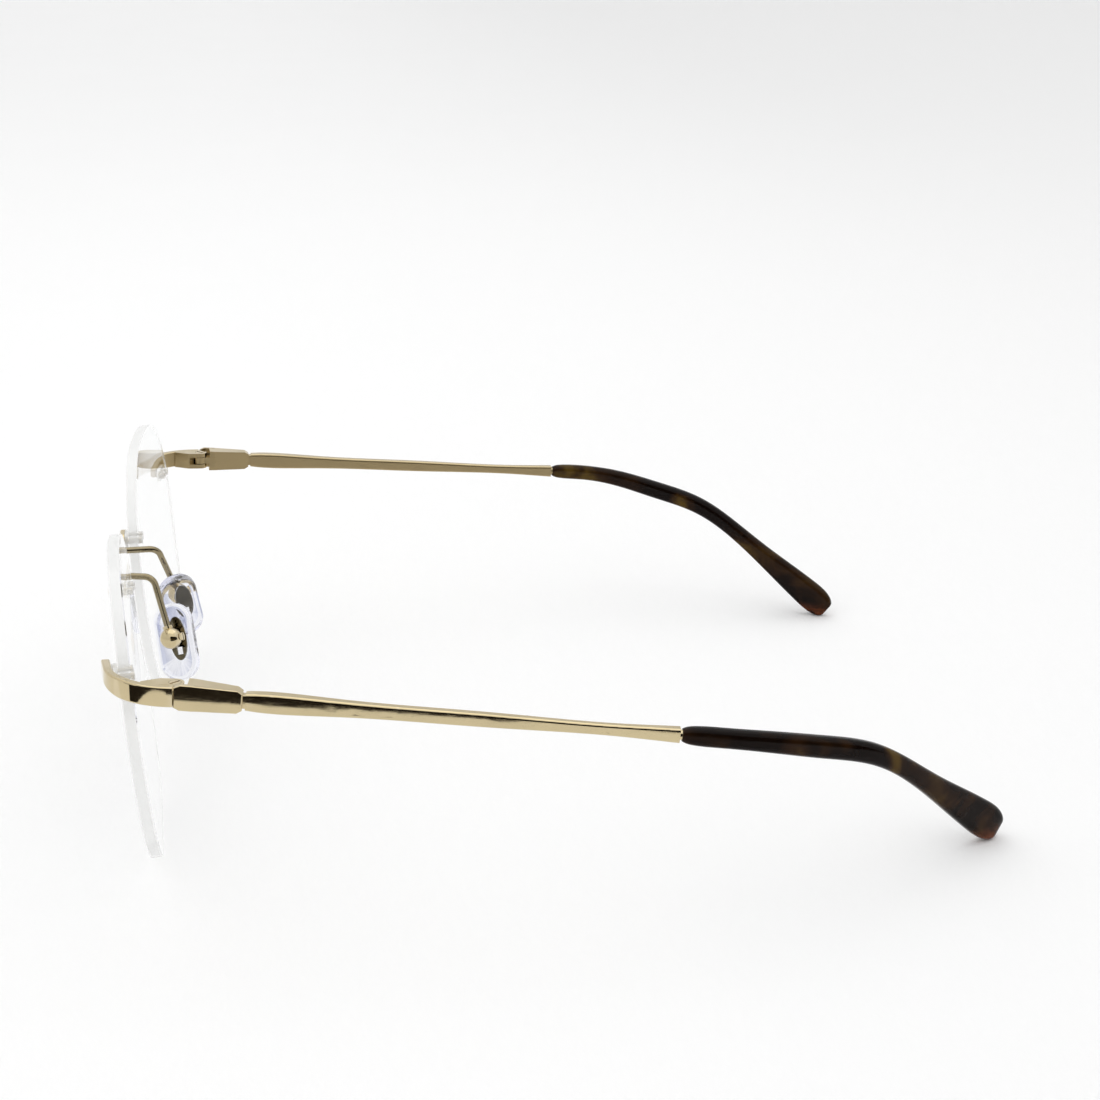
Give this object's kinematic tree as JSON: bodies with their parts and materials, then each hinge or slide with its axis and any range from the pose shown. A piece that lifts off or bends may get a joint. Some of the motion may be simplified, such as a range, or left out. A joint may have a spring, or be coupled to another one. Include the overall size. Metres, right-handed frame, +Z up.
{
  "type": "rimless eyeglasses",
  "caption": "Rimless eyeglasses, light gold metal with clear rounded lenses, adjustable clear nose pads, leaf hinges and tortoiseshell temple tips",
  "frame": {"origin": "Middle of the footprint, on the surface the open glasses stand on with the lower edges of the lenses and the temple tips.", "axes": "X runs across the face with +X at the wearer's left, +Y points back along the temples, +Z is up."},
  "size_m": [0.1484, 0.1492, 0.0522],
  "materials": {
    "gold_metal": "polished light gold plating",
    "clear_lens": "clear coated demonstration lens, faint violet and green reflection",
    "clear_sleeve": "clear moulded plastic",
    "clear_silicone": "soft clear silicone with a faint bluish tint",
    "tortoise_acetate": "polished dark tortoiseshell acetate with amber patches",
    "insert_metal": "polished metal core of the pad"
  },
  "bodies": {
    "front": {"lens_left": "clear_lens", "lens_right": "clear_lens", "bridge": "gold_metal", "bridge_bushing_left": "clear_sleeve", "bridge_bushing_right": "clear_sleeve", "end_piece_bushing_left": "clear_sleeve", "end_piece_bushing_right": "clear_sleeve", "end_piece_left": "gold_metal", "end_piece_right": "gold_metal", "hinge_screw_left": "gold_metal", "hinge_screw_right": "gold_metal", "pad_arm_left": "gold_metal", "pad_arm_right": "gold_metal", "pad_ball_left": "gold_metal", "pad_ball_right": "gold_metal", "pad_screw_left": "gold_metal", "pad_screw_right": "gold_metal"},
    "temple_arm_left": {"temple_left": "gold_metal", "temple_core_left": "gold_metal", "temple_tip_left": "tortoise_acetate"},
    "temple_arm_right": {"temple_right": "gold_metal", "temple_core_right": "gold_metal", "temple_tip_right": "tortoise_acetate"},
    "pad_left": {"pad_insert_left": "insert_metal", "nose_pad_left": "clear_silicone"},
    "pad_right": {"pad_insert_right": "insert_metal", "nose_pad_right": "clear_silicone"}
  },
  "joints": [
    {"name": "temple_left_fold", "type": "hinge", "parent": "front", "child": "temple_arm_left", "pos_m": [0.064, -0.06161, 0.03835], "axis": [0, 0.0523, 0.9986], "range_deg": [0, 85]},
    {"name": "temple_right_fold", "type": "hinge", "parent": "front", "child": "temple_arm_right", "pos_m": [-0.064, -0.06161, 0.03835], "axis": [0, -0.0523, -0.9986], "range_deg": [0, 68]},
    {"name": "pad_left_rock", "type": "hinge", "parent": "front", "child": "pad_left", "pos_m": [0.01263, -0.06502, 0.02747], "axis": [0.2616, 0.9373, 0.2301], "range_deg": [-8, 8]},
    {"name": "pad_right_rock", "type": "hinge", "parent": "front", "child": "pad_right", "pos_m": [-0.01263, -0.06502, 0.02747], "axis": [-0.2616, 0.9373, 0.2301], "range_deg": [-8, 8]}
  ]
}
